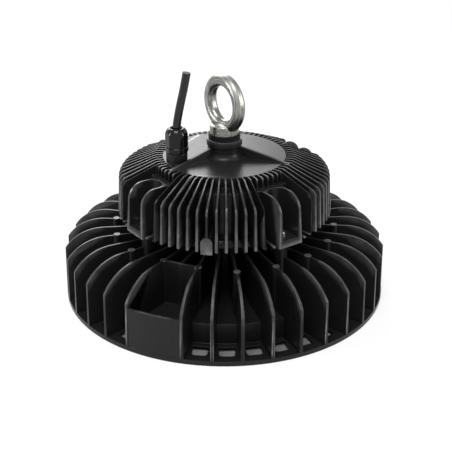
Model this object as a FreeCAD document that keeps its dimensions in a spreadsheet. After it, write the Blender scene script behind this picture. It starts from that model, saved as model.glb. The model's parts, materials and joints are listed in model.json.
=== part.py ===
"""High bay light: a finned LED heat sink with a separate finned driver housing on top.

The frame is +Z up. The origin is on the centre line, at the underside of the rim. All sizes are
in millimetres and degrees. Round pieces are turned profiles, written as (radius, height) corners.
"""
import FreeCAD, Part
import Sketcher
import math
import os
import re

Vector = FreeCAD.Vector
Rotation = FreeCAD.Rotation
Placement = FreeCAD.Placement

SIZES = {
    # Heat sink
    "Rim_radius": 140,
    "Rim_thickness": 4,
    "Fin_count": 36,
    "Fin_step": 10,
    "Fin_top": 60.5,
    "Fin_tip_radius": 139.5,
    "Fin_corner_height": 42.5,
    "Fin_arc_radius": 40,
    "Fin_root_width": 3.2,
    "Fin_crest_width": 1.9,
    "Hub_radius": 40,
    "Neck_radius": 16,
    "Neck_top": 69.5,
    "Lead_bore_radius": 6,
    "Chamber_wall_radius": 112.5,
    "Rim_plate_thickness": 1.6,
    "Rim_relief_inner": 115.5,
    "Rim_relief_outer": 134,
    "Chamber_deck": 22,
    "Chamber_radius": 98,
    "Chamber_ceiling": 18,
    "Post_radius": 3,
    "Post_circle": 95.5,
    "Post_top": 61.2,
    "Post_step": 20,
    "Pocket_post_circle": 88.5,
    "Pocket_half_angle": 10,
    "Pocket_panel_top": 39,
    "Pocket_wall": 2.5,
    "Window_inner_radius": 117.5,
    "Window_outer_radius": 131,
    "Window_inner_half": 6.9,
    "Window_outer_half": 6.2,
    "Window_corner": 2.5,
    "Ear_boss_radius": 5.5,
    "Ear_screw_circle": 79,
    "Ear_thread_radius": 2.5,
    "Ear_thread_depth": 16,
    # Base plate of the driver housing
    "Plate_bottom": 70.5,
    "Housing_bottom": 73.5,
    "Plate_radius": 72.5,
    "Seal_inner_radius": 62,
    "Seal_outer_radius": 64.5,
    "Seal_depth": 1.5,
    "Standoff_radius": 3.5,
    "Standoff_circle": 44,
    "Standoff_height": 5.5,
    "Grommet_hole_radius": 7.5,
    # Driver housing
    "Wall_radius": 65,
    "Wall": 3.5,
    "Flange_top": 77,
    "Land_height": 115,
    "Disc_radius": 52.4,
    "Disc_height": 124,
    "Deck_thickness": 4.5,
    "Rib_count": 72,
    "Rib_step": 5,
    "Rib_bottom": 75.5,
    "Rib_foot_radius": 92,
    "Rib_corner_radius": 90.6,
    "Rib_corner_height": 110.8,
    "Rib_round": 5,
    "Rib_crest_radius": 59,
    "Rib_root_width": 2.3,
    "Rib_crest_width": 1.2,
    "Bay_half_angle": 15.4,
    "Stub_radius": 61,
    "Ear_foot_width": 23.4,
    "Ear_top_width": 20.8,
    "Ear_fillet": 4,
    "Ear_slot_width": 17.8,
    "Ear_slot_foot_width": 15.4,
    "Ear_slot_start": 65,
    "Ear_foot_top": 79.5,
    "Ear_side_height": 102,
    "Ear_side_radius": 90.5,
    "Ear_round": 13,
    "Pad_width": 9.6,
    "Pad_straight_top": 84.2,
    "Pad_screw_circle": 69,
    # Hanging boss on the disc
    "Boss_radius": 14.3,
    "Boss_fillet": 5,
    "Boss_lip_radius": 15.2,
    "Boss_lip_bottom": 133.2,
    "Boss_top": 139.6,
    "Gusset_tip_radius": 58,
    "Gusset_width": 2.6,
    "Gusset_angle": 33,
    # Eye bolt
    "Shank_radius": 6,
    "Shank_clearance": 0.3,
    "Shank_end": 104,
    "Eye_washer_radius": 13.6,
    "Eye_washer_thickness": 4.4,
    "Eye_collar_radius": 12.5,
    "Eye_collar_height": 9,
    "Eye_centre_rise": 26,
    "Eye_bore_radius": 15,
    "Eye_outer_radius": 25,
    "Eye_section_radius": 5.3,
    "Eye_land_half": 1.75,
    "Eye_turn": -53.5,
    "Nut_across_flats": 18,
    "Nut_height": 10,
    "Nut_washer_radius": 12,
    "Nut_washer_thickness": 2.5,
    # Cable gland
    "Gland_offset": 42.5,
    "Gland_angle": -106,
    "Gland_boss_radius": 9,
    "Gland_boss_top": 132,
    "Gland_thread_radius": 7.5,
    "Gland_thread_length": 11,
    "Gland_ring_thickness": 0.8,
    "Gland_hex_height": 4.6,
    "Gland_across_flats": 18.6,
    "Gland_body_top": 147,
    "Gland_bore_radius": 5.2,
    "Dome_nut_flats": 17.8,
    "Dome_nut_gap": 0.4,
    "Dome_shoulder": 149,
    "Dome_top": 153.5,
    "Dome_mouth_radius": 5.4,
    "Cord_radius": 3.5,
    # Driver electronics
    "Board_radius": 52,
    "Board_thickness": 1.6,
    "Capacitor_radius": 8,
    "Capacitor_height": 22,
    "Transformer_length": 30,
    "Transformer_width": 24,
    "Transformer_height": 20,
    "Choke_outer_radius": 11,
    "Choke_section_radius": 4,
    "Terminal_length": 16,
    "Terminal_width": 9,
    "Terminal_height": 9,
    "Lead_radius": 2.5,
    # Light engine
    "Pad_thickness": 0.5,
    "Led_board_radius": 94,
    "Led_board_thickness": 1.6,
    "Led_width": 3.4,
    "Led_height": 0.8,
    "Led_first_circle": 26,
    "Led_circle_step": 18,
    "Led_first_count": 9,
    "Led_ring_count": 4,
    "Seal_ring_inner": 99,
    "Seal_ring_outer": 104,
    "Seal_ring_thickness": 1.5,
    "Lens_radius": 106,
    "Lens_thickness": 3,
    "Lens_clearance": 0.5,
    "Lens_ring_inner": 100,
    "Lens_ring_outer": 113,
    "Lens_ring_thickness": 2,
    "Lens_ring_recess": 0.2,
    "Lens_ring_screw_circle": 109.6,
    "Lens_ring_screw_count": 12,
    # Fasteners
    "Ear_screw_head_radius": 4.4,
    "Ear_screw_head_height": 2.8,
    "Small_screw_radius": 2,
    "Small_screw_head_radius": 3.5,
    "Small_screw_head_height": 2.2,
    "Small_screw_length": 9,
    "Tiny_screw_radius": 1.5,
    "Tiny_screw_head_radius": 2.8,
    "Tiny_screw_head_height": 1.7,
    "Tiny_screw_length": 7,
    "Hole_clearance": 0.3,
}

doc = FreeCAD.newDocument("high_bay_light")
sheet = doc.addObject("Spreadsheet::Sheet", "Sizes")
for row, (alias, number) in enumerate(SIZES.items(), start=1):
    sheet.set(f"A{row}", alias.replace("_", " "))
    sheet.set(f"B{row}", str(number))
    sheet.setAlias(f"B{row}", alias)
doc.recompute()

WORD = re.compile(r"[A-Z][A-Za-z_]+")
parts = []


# ---------------------------------------------------------------- helpers
def value(text):
    """The number that a formula of sheet aliases gives."""
    return float(sheet.evalExpression(str(text)))


def bound(text):
    """The same formula, written for an object outside the sheet."""
    return WORD.sub(lambda found: "Sizes." + found.group(0), str(text))


def bind(item, **formulas):
    """Bind properties of an object to the sheet; a double underscore stands for a dot."""
    for name, text in formulas.items():
        item.setExpression(name.replace("__", "."), bound(text))


def new_body(label, turn="0"):
    """An empty body, turned about the centre line."""
    body = doc.addObject("PartDesign::Body", label)
    body.Label = label
    body.Placement = Placement(Vector(), Rotation(Vector(0, 0, 1), value(turn)))
    body.setExpression("Placement.Rotation.Angle", bound(turn))
    parts.append(body)
    return body


def datum(body, role):
    """One of the body's own origin planes or axes."""
    return next(item for item in body.Origin.OriginFeatures if item.Role == role)


def new_sketch(body, name, plane="XZ_Plane", lift="0", turn="0", across="0"):
    """A sketch on an origin plane, lifted along the plane's normal and turned about +Z."""
    sketch = body.newObject("Sketcher::SketchObject", name)
    sketch.AttachmentSupport = [(datum(body, plane), "")]
    sketch.MapMode = "FlatFace"
    axis = Vector(0, 0, 1) if plane == "XY_Plane" else Vector(0, 1, 0)
    offset = Vector(value(across), 0, value(lift))
    sketch.AttachmentOffset = Placement(offset, Rotation(axis, value(turn)))
    bind(sketch, AttachmentOffset__Base__x=across, AttachmentOffset__Base__z=lift,
         AttachmentOffset__Rotation__Angle=turn)
    return sketch


def hold(sketch, kind, *where, text):
    """A sketch dimension that follows a formula."""
    index = sketch.addConstraint(Sketcher.Constraint(kind, *where, value(text)))
    name = f"held_{index}"
    sketch.renameConstraint(index, name)
    sketch.setExpression("Constraints." + name, bound(text))


def place(sketch, edge, end, x, y):
    hold(sketch, "DistanceX", -1, 1, edge, end, text=x)
    hold(sketch, "DistanceY", -1, 1, edge, end, text=y)


def outline(sketch, corners):
    """A closed outline. A corner is (x, y), or (x, y, radius) where an arc leads to the next one:
    a positive radius turns anticlockwise, a negative one clockwise."""
    spots = [Vector(value(corner[0]), value(corner[1]), 0) for corner in corners]
    ends = []
    for index, corner in enumerate(corners):
        start = spots[index]
        stop = spots[(index + 1) % len(spots)]
        if len(corner) == 2:
            edge = sketch.addGeometry(Part.LineSegment(start, stop), False)
            ends.append((edge, 1, 2))
            continue
        size = value(corner[2])
        radius = abs(size)
        chord = stop - start
        reach = math.sqrt(max(radius ** 2 - (chord.Length / 2) ** 2, 0.0))
        side = Vector(-chord.y, chord.x, 0).normalize() * math.copysign(reach, size)
        centre = (start + stop) / 2 + side
        first, last = (start, stop) if size > 0 else (stop, start)
        angles = [math.atan2(spot.y - centre.y, spot.x - centre.x) for spot in (first, last)]
        circle = Part.Circle(centre, Vector(0, 0, 1), radius)
        edge = sketch.addGeometry(Part.ArcOfCircle(circle, *angles), False)
        ends.append((edge, 1, 2) if size > 0 else (edge, 2, 1))
        hold(sketch, "Radius", edge, text=f"abs({corner[2]})")
    for index, (edge, start, stop) in enumerate(ends):
        follower = ends[(index + 1) % len(ends)]
        sketch.addConstraint(Sketcher.Constraint("Coincident", edge, stop, follower[0], follower[1]))
        place(sketch, edge, start, *corners[index][:2])
    return sketch


def circle(sketch, x, y, radius):
    spot = Vector(value(x), value(y), 0)
    edge = sketch.addGeometry(Part.Circle(spot, Vector(0, 0, 1), value(radius)), False)
    place(sketch, edge, 3, x, y)
    hold(sketch, "Radius", edge, text=radius)
    return sketch


def rectangle(sketch, left, right, bottom, top):
    return outline(sketch, [(left, bottom), (right, bottom), (right, top), (left, top)])


def hexagon(sketch, flats, x="0", y="0"):
    """A regular hexagon by its size across flats."""
    corners = []
    for angle in range(0, 360, 60):
        reach = f"({flats}) / 2 / cos(30)"
        corners.append((f"{x} + {reach} * cos({angle})", f"{y} + {reach} * sin({angle})"))
    return outline(sketch, corners)


def feature(body, kind, name, profile, **settings):
    """A PartDesign feature on a sketch; settings that are text are formulas."""
    item = body.newObject("PartDesign::" + kind, name)
    if kind.endswith("Loft"):
        item.Profile, item.Sections, item.Ruled = profile[0], profile[1:], True
    else:
        item.Profile = profile
    for key, setting in settings.items():
        if isinstance(setting, str) and key != "Type":
            item.setExpression(key, bound(setting))
        else:
            setattr(item, key, setting)
    for sketch in profile if isinstance(profile, list) else [profile]:
        sketch.Visibility = False
    return item


def spun(body, kind, name, corners, axis="V_Axis", turn="0"):
    """Revolution or Groove of a (radius, height) outline about the centre line."""
    sketch = outline(new_sketch(body, name + "_profile", turn=turn), corners)
    return feature(body, kind, name, sketch, ReferenceAxis=(sketch, [axis]), Angle="360")


def raised(body, name, sketch, length, **settings):
    return feature(body, "Pad", name, sketch, Length=length, **settings)


def sunk(body, name, sketch, depth, **settings):
    return feature(body, "Pocket", name, sketch, Length=depth, **settings)


def ringed(body, name, item, count, angle="360"):
    """Copies of a feature about the centre line."""
    pattern = body.newObject("PartDesign::PolarPattern", name)
    pattern.Originals = [item]
    pattern.Axis = (datum(body, "Z_Axis"), [""])
    bind(pattern, Angle=angle, Occurrences=count)
    body.Tip = pattern
    return pattern


def turned(label, corners, turn="0"):
    """A whole piece made as one turned profile."""
    body = new_body(label, turn)
    spun(body, "Revolution", label + "_form", corners)
    return body


def disc_with_hole(label, inner, outer, bottom, top):
    return turned(label, [(inner, bottom), (outer, bottom), (outer, top), (inner, top)])


def drafted_fin(body, name, inner, outer, bottom, top, root, crest):
    """A radial plate along +X that thins from its root to its crest."""
    low = new_sketch(body, name + "_root", "XY_Plane", lift=bottom)
    rectangle(low, inner, outer, f"-{root} / 2", f"{root} / 2")
    high = new_sketch(body, name + "_crest", "XY_Plane", lift=top)
    rectangle(high, inner, outer, f"-{crest} / 2", f"{crest} / 2")
    return feature(body, "AdditiveLoft", name, [low, high])


# ---------------------------------------------------------------- heat sink
POCKET_TURN = "-114"
EAR_TURN = "-54"


def heat_sink():
    """One die casting. The service pocket is on the body's own +X axis."""
    body = new_body("heat_sink", POCKET_TURN)
    spun(body, "Revolution", "sink_base", [
        ("0", "0"), ("Rim_radius", "0"), ("Rim_radius", "Rim_thickness"),
        ("Chamber_wall_radius", "Rim_thickness"), ("Chamber_wall_radius", "Chamber_deck"),
        ("Hub_radius", "Chamber_deck"), ("Hub_radius", "Fin_top"), ("Neck_radius", "Fin_top"),
        ("Neck_radius", "Neck_top"), ("0", "Neck_top")])
    fin = drafted_fin(body, "sink_fin", "Hub_radius - 2", "Rim_radius", "Rim_thickness / 2",
                      "Fin_top", "Fin_root_width", "Fin_crest_width")
    ringed(body, "sink_fins", fin, "Fin_count")

    # The fins' tips lean in a little, then turn over in one arc to the flat crest.
    drop = "(Fin_arc_radius - Fin_top + Fin_corner_height)"
    crest_radius = f"Fin_tip_radius - sqrt(Fin_arc_radius ^ 2 - {drop} ^ 2)"
    beyond = "Rim_radius + 5"
    above = "Fin_top + 5"
    spun(body, "Groove", "sink_envelope", [
        ("Rim_radius", "Rim_thickness"), (beyond, "Rim_thickness"), (beyond, above),
        (crest_radius, above), (crest_radius, "Fin_top", "-Fin_arc_radius"),
        ("Fin_tip_radius", "Fin_corner_height")])

    # Service pocket: the fin in its middle stops at a back wall, and a panel closes the front.
    room = new_sketch(body, "pocket_room", "XY_Plane", lift="Fin_top + 1")
    rectangle(room, "Pocket_post_circle", beyond, "-Fin_root_width", "Fin_root_width")
    sunk(body, "pocket", room, "Fin_top + 1 - Chamber_deck")
    slot = new_sketch(body, "pocket_floor_room", "XY_Plane", lift="Chamber_deck + 1")
    rectangle(slot, "Chamber_wall_radius", beyond, "-Fin_root_width", "Fin_root_width")
    sunk(body, "pocket_floor", slot, "Chamber_deck + 1 - Rim_thickness")
    wall = new_sketch(body, "pocket_back", "XY_Plane", lift="Chamber_deck - 1")
    wall_half = "Pocket_post_circle * sin(Pocket_half_angle)"
    wall_x = "Pocket_post_circle * cos(Pocket_half_angle)"
    rectangle(wall, f"{wall_x} - Pocket_wall / 2", f"{wall_x} + Pocket_wall / 2",
              f"-{wall_half}", wall_half)
    raised(body, "pocket_back_wall", wall, "Fin_top - Chamber_deck + 1")
    panel = new_sketch(body, "pocket_front", "XY_Plane", lift="Rim_thickness / 2")
    inner = "(Fin_tip_radius - Pocket_wall)"
    low, high = "-sin(Pocket_half_angle)", "sin(Pocket_half_angle)"
    along = "cos(Pocket_half_angle)"
    outline(panel, [
        (f"{inner} * {along}", f"{inner} * {low}"),
        (f"Fin_tip_radius * {along}", f"Fin_tip_radius * {low}", "Fin_tip_radius"),
        (f"Fin_tip_radius * {along}", f"Fin_tip_radius * {high}"),
        (f"{inner} * {along}", f"{inner} * {high}", f"-{inner}")])
    raised(body, "pocket_panel", panel, "Pocket_panel_top - Rim_thickness / 2")

    # Round posts run up every second fin, and two stand at the pocket's back corners.
    post_length = "Post_top - Chamber_deck + 1"
    post = new_sketch(body, "post_circle", "XY_Plane", lift="Chamber_deck - 1")
    first = "(Pocket_half_angle + Post_step)"
    circle(post, f"Post_circle * cos{first}", f"Post_circle * sin{first}", "Post_radius")
    ringed(body, "posts", raised(body, "post", post, post_length), "Fin_count / 2 - 2",
           "360 - 3 * Post_step")
    corner = new_sketch(body, "corner_post_circle", "XY_Plane", lift="Chamber_deck - 1")
    for side in ("-", ""):
        circle(corner, wall_x, f"{side}{wall_half}", "Post_radius")
    raised(body, "corner_posts", corner, "Fin_top - Chamber_deck + 1")

    # Tall bosses under the ears of the driver housing, tapped from the top.
    boss = new_sketch(body, "ear_boss_circle", "XY_Plane", lift="Chamber_deck - 1")
    circle(boss, "Ear_screw_circle * cos(60)", "Ear_screw_circle * sin(60)", "Ear_boss_radius")
    ringed(body, "ear_bosses", raised(body, "ear_boss", boss, "Housing_bottom - Chamber_deck + 1"),
           "4")
    thread = new_sketch(body, "ear_thread_circle", "XY_Plane", lift="Housing_bottom")
    circle(thread, "Ear_screw_circle * cos(60)", "Ear_screw_circle * sin(60)",
           "Ear_thread_radius")
    ringed(body, "ear_threads", sunk(body, "ear_thread", thread, "Ear_thread_depth"), "4")

    # Air windows through the rim, one between each two fins apart from the pocket.
    window = new_sketch(body, "window_outline", "XY_Plane", lift="Rim_thickness",
                        turn="Pocket_half_angle + Fin_step / 2")
    rounded = "(Window_outer_half - Window_corner)"
    shoulder = "(Window_outer_radius - Window_corner)"
    outline(window, [
        ("Window_inner_radius", "-Window_inner_half"),
        (shoulder, "-Window_outer_half", "Window_corner"),
        ("Window_outer_radius", f"-{rounded}"),
        ("Window_outer_radius", rounded, "Window_corner"),
        (shoulder, "Window_outer_half"),
        ("Window_inner_radius", "Window_inner_half")])
    ringed(body, "windows", sunk(body, "window", window, "Rim_thickness + 1"), "Fin_count - 2",
           "360 - 3 * Fin_step")

    # Underneath, the rim is relieved to a thin plate where the windows are.
    spun(body, "Groove", "rim_relief", [
        ("Rim_relief_inner", "-1"), ("Rim_relief_outer", "-1"),
        ("Rim_relief_outer", "Rim_thickness - Rim_plate_thickness"),
        ("Rim_relief_inner", "Rim_thickness - Rim_plate_thickness")])

    # The light chamber under the deck, stepped for the seal, the lens and its ring.
    ledge = "(Lens_ring_recess + Lens_ring_thickness)"
    lens_top = f"({ledge} + Lens_thickness)"
    seal_top = f"({lens_top} + Seal_ring_thickness)"
    spun(body, "Groove", "light_chamber", [
        ("0", "-1"), ("Lens_ring_outer + Lens_clearance", "-1"),
        ("Lens_ring_outer + Lens_clearance", ledge), ("Lens_radius + Lens_clearance", ledge),
        ("Lens_radius + Lens_clearance", seal_top), ("Chamber_radius", seal_top),
        ("Chamber_radius", "Chamber_ceiling"), ("Lead_bore_radius", "Chamber_ceiling"),
        ("Lead_bore_radius", "Neck_top + 1"), ("0", "Neck_top + 1")])
    tap = new_sketch(body, "ring_thread_circle", "XY_Plane", lift="0")
    circle(tap, "Lens_ring_screw_circle", "0", "Tiny_screw_radius")
    ringed(body, "ring_threads",
           sunk(body, "ring_thread", tap, f"{ledge} + Tiny_screw_length", Reversed=True),
           "Lens_ring_screw_count")
    return body


# ---------------------------------------------------------------- driver housing
def driver_housing():
    """One die casting. An ear is on the body's own +X axis."""
    body = new_body("driver_housing", EAR_TURN)
    spun(body, "Revolution", "housing_body", [
        ("0", "Housing_bottom"), ("Plate_radius", "Housing_bottom"), ("Plate_radius", "Flange_top"),
        ("Wall_radius", "Flange_top"), ("Wall_radius", "Land_height"),
        ("Disc_radius", "Land_height"), ("Disc_radius", "Disc_height"),
        ("Boss_radius + Boss_fillet", "Disc_height", "-Boss_fillet"),
        ("Boss_radius", "Disc_height + Boss_fillet"), ("Boss_radius", "Boss_lip_bottom"),
        ("Boss_lip_radius", "Boss_lip_bottom + 1"), ("Boss_lip_radius", "Boss_top"),
        ("0", "Boss_top")])
    rib = drafted_fin(body, "cooling_rib", "Disc_radius - 2", "Rib_foot_radius + 1", "Rib_bottom",
                      "Disc_height", "Rib_root_width", "Rib_crest_width")
    ringed(body, "cooling_ribs", rib, "Rib_count")

    # The ribs' crests fall from the disc to a rounded corner, and the tips lean out below it.
    beyond = "Rib_foot_radius + 4"
    above = "Disc_height + 4"
    spun(body, "Groove", "rib_envelope", [
        ("Rib_foot_radius", "Rib_bottom - 0.5"), (beyond, "Rib_bottom - 0.5"), (beyond, above),
        ("Rib_crest_radius", above), ("Rib_crest_radius", "Disc_height"),
        ("Rib_corner_radius - Rib_round", "Rib_corner_height + 2", "-Rib_round * 1.3"),
        ("Rib_corner_radius", "Rib_corner_height - Rib_round")])

    # Open bays beside the ears: no ribs below the land, short stubs of ribs above it.
    for name, reach, floor in (("bay", "Wall_radius", "Flange_top"),
                               ("bay_top", "Stub_radius", "Land_height")):
        sector = new_sketch(body, name + "_outline", "XY_Plane", lift=above)
        cosine, sine = "cos(Bay_half_angle)", "sin(Bay_half_angle)"
        outline(sector, [
            (f"{reach} * {cosine}", f"-{reach} * {sine}"),
            (f"({beyond}) * {cosine}", f"-({beyond}) * {sine}", beyond),
            (f"({beyond}) * {cosine}", f"({beyond}) * {sine}"),
            (f"{reach} * {cosine}", f"{reach} * {sine}", f"-{reach}")])
        ringed(body, name + "s", sunk(body, name, sector, f"{above} - {floor}"), "4")

    # Ears: two cheeks with draft and a rounded top corner, blended into the wall, and a foot.
    levels = []
    for name, lift, width in (("ear_foot_outline", "Housing_bottom", "Ear_foot_width / 2"),
                              ("ear_top_outline", "Land_height", "Ear_top_width / 2")):
        level = new_sketch(body, name, "XY_Plane", lift=lift)
        flank = f"({width} + Ear_fillet)"
        root = f"(sqrt(Wall_radius ^ 2 - {flank} ^ 2) - 0.4)"
        outline(level, [
            ("Wall_radius - Wall", f"-{flank}"), (root, f"-{flank}", "-Ear_fillet"),
            (f"{root} + Ear_fillet", f"-{width}"), (beyond, f"-{width}"), (beyond, width),
            (f"{root} + Ear_fillet", width, "-Ear_fillet"), (root, flank),
            ("Wall_radius - Wall", flank)])
        levels.append(level)
    ringed(body, "ears", feature(body, "AdditiveLoft", "ear", levels), "4")
    side = new_sketch(body, "ear_tip_outline")
    outline(side, [
        ("Rib_foot_radius", "Housing_bottom"), (f"{beyond} + 1", "Housing_bottom"),
        (f"{beyond} + 1", above), ("Ear_side_radius - Ear_round", above),
        ("Ear_side_radius - Ear_round", "Ear_side_height + Ear_round", "-Ear_round"),
        ("Ear_side_radius", "Ear_side_height")])
    ringed(body, "ear_tips",
           sunk(body, "ear_tip", side, "Ear_foot_width + 2", Midplane=True), "4")

    # Each ear has a deep screw slot with a full round end.
    levels = []
    for name, lift, half in (("ear_slot_foot", "Ear_foot_top", "Ear_slot_foot_width / 2"),
                             ("ear_slot_mouth", "Land_height", "Ear_slot_width / 2")):
        level = new_sketch(body, name, "XY_Plane", lift=lift)
        turn = f"(Ear_slot_start + {half})"
        outline(level, [
            (turn, f"-{half}"), (f"{beyond} + 1", f"-{half}"), (f"{beyond} + 1", half),
            (turn, half, half), ("Ear_slot_start", "0", half)])
        levels.append(level)
    ringed(body, "ear_slots", feature(body, "SubtractiveLoft", "ear_slot", levels), "4")

    # Flat screw pads with a round top, between the two middle ribs of each group.
    pad = new_sketch(body, "pad_face", "YZ_Plane", lift="Rib_foot_radius * cos(45)",
                     across="Rib_foot_radius * sin(45)", turn="45")
    outline(pad, [
        ("-Pad_width / 2", "Housing_bottom"), ("Pad_width / 2", "Housing_bottom"),
        ("Pad_width / 2", "Pad_straight_top", "Pad_width * 0.51"),
        ("-Pad_width / 2", "Pad_straight_top")])
    ringed(body, "screw_pads",
           raised(body, "screw_pad", pad, "Rib_foot_radius - Wall_radius + Wall / 2",
                  Reversed=True), "4")

    # Three gussets brace the hanging boss.
    gusset = new_sketch(body, "gusset_side", turn="Gusset_angle")
    outline(gusset, [
        ("Boss_radius - 2", "Disc_height - 1"), ("Gusset_tip_radius", "Disc_height - 1"),
        ("Gusset_tip_radius", "Disc_height"), ("Boss_radius", "Boss_lip_bottom + 0.5"),
        ("Boss_radius - 2", "Boss_lip_bottom + 0.5")])
    ringed(body, "gussets", raised(body, "gusset", gusset, "Gusset_width", Midplane=True), "3")

    # Boss for the cable gland.
    gland_x, gland_y = "Gland_offset * cos(Gland_angle)", "Gland_offset * sin(Gland_angle)"
    seat = new_sketch(body, "gland_boss_circle", "XY_Plane", lift="Disc_height - 1")
    circle(seat, gland_x, gland_y, "Gland_boss_radius")
    raised(body, "gland_boss", seat, "Gland_boss_top - Disc_height + 1")

    # The cavity, then the holes for the eye bolt, the gland and the screws.
    step = "Wall_radius - Wall - 8"
    spun(body, "Groove", "cavity", [
        ("0", "Housing_bottom - 1"), ("Wall_radius - Wall", "Housing_bottom - 1"),
        ("Wall_radius - Wall", "Land_height - Wall"), (step, "Land_height - Wall"),
        (f"{step} - 3", "Disc_height - Deck_thickness"), ("0", "Disc_height - Deck_thickness")])
    shank = new_sketch(body, "shank_hole_circle", "XY_Plane", lift="Boss_top + 1")
    circle(shank, "0", "0", "Shank_radius + Shank_clearance")
    sunk(body, "shank_hole", shank, "Boss_top - Land_height")
    entry = new_sketch(body, "gland_hole_circle", "XY_Plane", lift="Gland_boss_top + 1")
    circle(entry, gland_x, gland_y, "Gland_thread_radius")
    sunk(body, "gland_hole", entry, "Gland_boss_top - Land_height")
    hole = new_sketch(body, "ear_hole_circle", "XY_Plane", lift="Ear_foot_top + 1")
    circle(hole, "Ear_screw_circle", "0", "Ear_thread_radius + Hole_clearance")
    ringed(body, "ear_holes",
           sunk(body, "ear_hole", hole, "Ear_foot_top - Housing_bottom + 2"), "4")
    tap = new_sketch(body, "pad_thread_circle", "XY_Plane", lift="Housing_bottom")
    circle(tap, "Pad_screw_circle * cos(45)", "Pad_screw_circle * sin(45)", "Small_screw_radius")
    ringed(body, "pad_threads",
           sunk(body, "pad_thread", tap, "Small_screw_length", Reversed=True), "4")
    return body


def driver_base_plate():
    """Cast cover under the driver housing, with a seal groove and four board stand-offs."""
    body = new_body("driver_base_plate", EAR_TURN)
    spun(body, "Revolution", "plate_form", [
        ("Grommet_hole_radius", "Plate_bottom"), ("Plate_radius", "Plate_bottom"),
        ("Plate_radius", "Housing_bottom"), ("Seal_outer_radius", "Housing_bottom"),
        ("Seal_outer_radius", "Housing_bottom - Seal_depth"),
        ("Seal_inner_radius", "Housing_bottom - Seal_depth"),
        ("Seal_inner_radius", "Housing_bottom"), ("Grommet_hole_radius", "Housing_bottom")])
    post = new_sketch(body, "standoff_circle", "XY_Plane", lift="Housing_bottom - 1")
    circle(post, "Standoff_circle", "0", "Standoff_radius")
    ringed(body, "standoffs", raised(body, "standoff", post, "Standoff_height + 1"), "4")
    tap = new_sketch(body, "standoff_thread_circle", "XY_Plane",
                     lift="Housing_bottom + Standoff_height")
    circle(tap, "Standoff_circle", "0", "Tiny_screw_radius")
    ringed(body, "standoff_threads", sunk(body, "standoff_thread", tap, "Standoff_height"), "4")
    hole = new_sketch(body, "plate_pad_hole_circle", "XY_Plane", lift="Housing_bottom")
    circle(hole, "Pad_screw_circle * cos(45)", "Pad_screw_circle * sin(45)",
           "Small_screw_radius + Hole_clearance")
    ringed(body, "plate_pad_holes", sunk(body, "plate_pad_hole", hole, "5"), "4")
    return body


def seals_of_housing():
    disc_with_hole("base_plate_gasket", "Seal_inner_radius", "Seal_outer_radius",
                   "Housing_bottom - Seal_depth", "Housing_bottom")
    disc_with_hole("neck_gasket", "Grommet_hole_radius + 2", "Neck_radius", "Neck_top",
                   "Plate_bottom")
    flange = "(Grommet_hole_radius + 1.5)"
    turned("lead_grommet", [
        ("Lead_radius", "Plate_bottom - 1"), ("Grommet_hole_radius", "Plate_bottom - 1"),
        ("Grommet_hole_radius", "Housing_bottom"), (flange, "Housing_bottom"),
        (flange, "Housing_bottom + 1.5"), ("Lead_radius", "Housing_bottom + 1.5")])


# ---------------------------------------------------------------- eye bolt
def eye_bolt():
    """Forged lifting eye: ring, collar and shank in one piece. The ring's bore runs along Y."""
    body = new_body("eye_bolt", "Eye_turn")
    seat = "(Boss_top + Eye_washer_thickness)"
    collar_top = f"({seat} + Eye_collar_height)"
    spun(body, "Revolution", "shank_and_collar", [
        ("0", "Shank_end"), ("Shank_radius - 1", "Shank_end"), ("Shank_radius", "Shank_end + 1"),
        ("Shank_radius", seat), ("Eye_collar_radius", seat),
        ("Eye_collar_radius", f"{collar_top} - 1.5"), ("Eye_collar_radius - 2", collar_top),
        ("0", collar_top)])
    section = new_sketch(body, "ring_section", "XY_Plane", lift=f"{seat} + Eye_centre_rise")
    outline(section, [
        ("Eye_bore_radius", "-Eye_land_half", "Eye_section_radius"),
        ("Eye_outer_radius", "-Eye_land_half"),
        ("Eye_outer_radius", "Eye_land_half", "Eye_section_radius"),
        ("Eye_bore_radius", "Eye_land_half")])
    feature(body, "Revolution", "ring", section, ReferenceAxis=(section, ["V_Axis"]),
            Angle="360")
    return body


def eye_bolt_fixings():
    disc_with_hole("eye_bolt_washer", "Shank_radius + Shank_clearance", "Eye_washer_radius",
                   "Boss_top", "Boss_top + Eye_washer_thickness")
    deck = "(Disc_height - Deck_thickness)"
    disc_with_hole("eye_nut_washer", "Shank_radius + Shank_clearance", "Nut_washer_radius",
                   f"{deck} - Nut_washer_thickness", deck)
    nut_top = f"({deck} - Nut_washer_thickness)"
    nut = new_body("eye_nut", "Eye_turn")
    face = new_sketch(nut, "nut_face", "XY_Plane", lift=f"{nut_top} - Nut_height")
    hexagon(face, "Nut_across_flats")
    circle(face, "0", "0", "Shank_radius")
    raised(nut, "nut_form", face, "Nut_height")


# ---------------------------------------------------------------- cable gland and cord
def at_gland(body):
    """Moves a body that is turned about its own centre line to the gland's centre line."""
    body.Placement = Placement(
        Vector(value("Gland_offset * cos(Gland_angle - 54)"),
               value("Gland_offset * sin(Gland_angle - 54)"), 0), Rotation())
    bind(body, Placement__Base__x="Gland_offset * cos(Gland_angle - 54)",
         Placement__Base__y="Gland_offset * sin(Gland_angle - 54)")
    return body


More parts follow.
